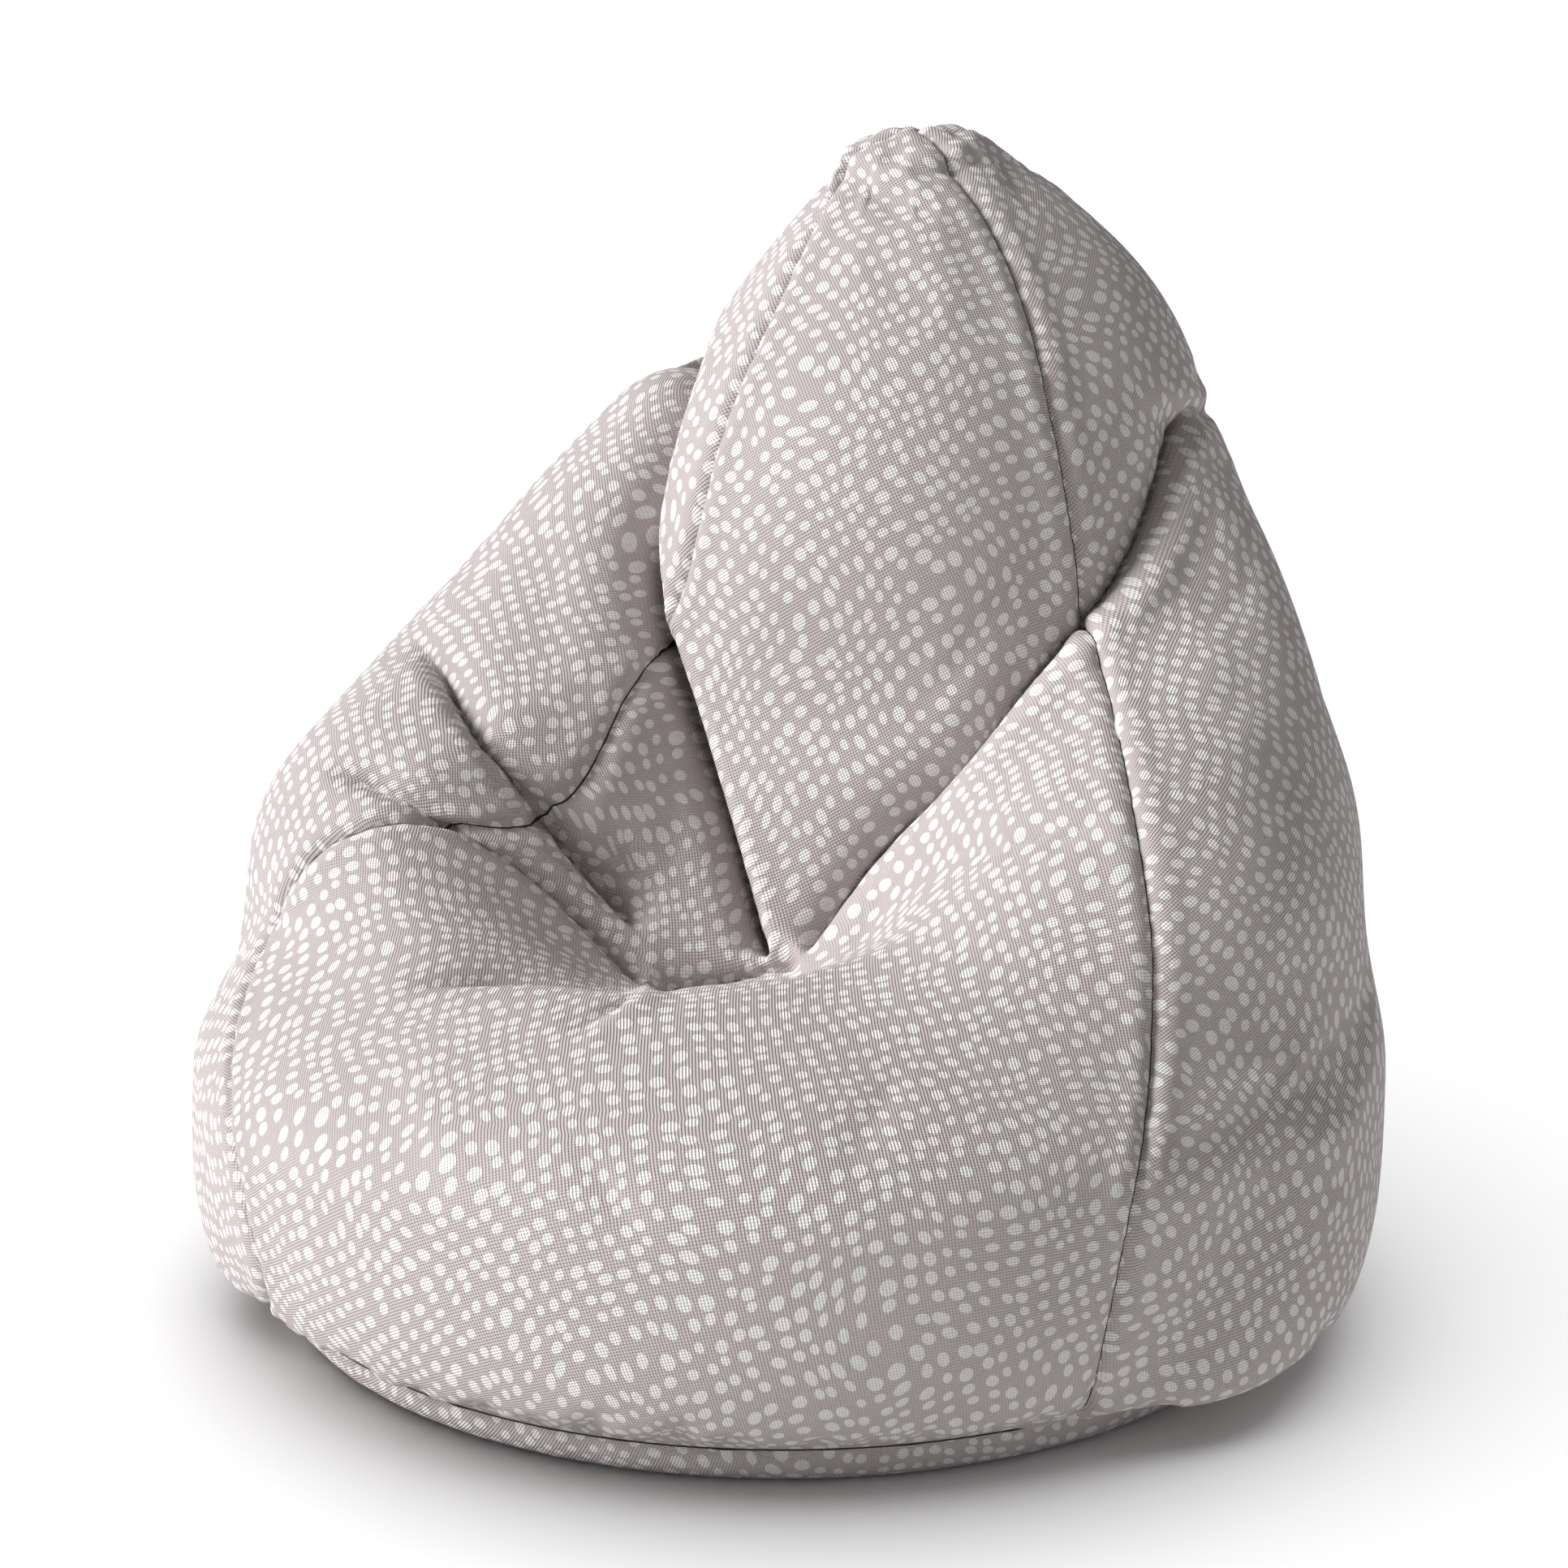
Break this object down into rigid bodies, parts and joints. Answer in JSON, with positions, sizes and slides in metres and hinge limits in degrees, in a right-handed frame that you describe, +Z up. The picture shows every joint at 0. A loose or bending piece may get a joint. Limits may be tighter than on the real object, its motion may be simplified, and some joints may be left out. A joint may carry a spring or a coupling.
{
  "type": "bean bag chair",
  "caption": "Drop-shaped bean bag chair with a leaning padded back, a pressed-in seat, gored cloth cover, round base and a zip up the back.",
  "frame": {"origin": "on the floor under the middle of the bag", "axes": "+Z up, -Y towards the sitter's feet (front), +X to the right seen from the front"},
  "size_m": [0.9104, 0.9034, 0.8785],
  "materials": {
    "cover_cloth": "woven cloth with a pale dot print",
    "seam_thread": "dark stitching",
    "zip_tape": "woven tape",
    "zip_teeth": "moulded coil",
    "zip_metal": "cast and plated",
    "liner_cloth": "plain thin cloth",
    "beads": "expanded foam beads",
    "label_cloth": "blank satin tape"
  },
  "bodies": {
    "bag": {"front_panel": "cover_cloth", "left_panel": "cover_cloth", "right_panel": "cover_cloth", "rear_left_panel": "cover_cloth", "rear_right_panel": "cover_cloth", "base_panel": "cover_cloth", "front_left_seam": "seam_thread", "front_right_seam": "seam_thread", "rear_left_seam": "seam_thread", "rear_right_seam": "seam_thread", "rear_centre_seam": "seam_thread", "base_seam": "seam_thread", "peak_tack": "seam_thread", "zip_tape_left": "zip_tape", "zip_tape_right": "zip_tape", "zip_teeth_left": "zip_teeth", "zip_teeth_right": "zip_teeth", "zip_bottom_stop": "zip_metal", "zip_top_stop": "zip_metal", "zip_garage": "cover_cloth", "liner_side": "liner_cloth", "liner_base": "liner_cloth", "liner_seam": "liner_cloth", "bead_fill": "beads", "care_label": "label_cloth"},
    "slider": {"zip_slider": "zip_metal"},
    "pull": {"zip_pull": "zip_metal"}
  },
  "joints": [
    {"name": "zip_slide", "type": "hinge", "parent": "bag", "child": "slider", "pos_m": [0, -2.148, 0.33], "axis": [1, 0, 0], "range_deg": [-8.43, 0]},
    {"name": "pull_swing", "type": "hinge", "parent": "slider", "child": "pull", "pos_m": [0, 0.44993, 0.5218], "axis": [1, 0, 0], "range_deg": [0, 150]}
  ]
}
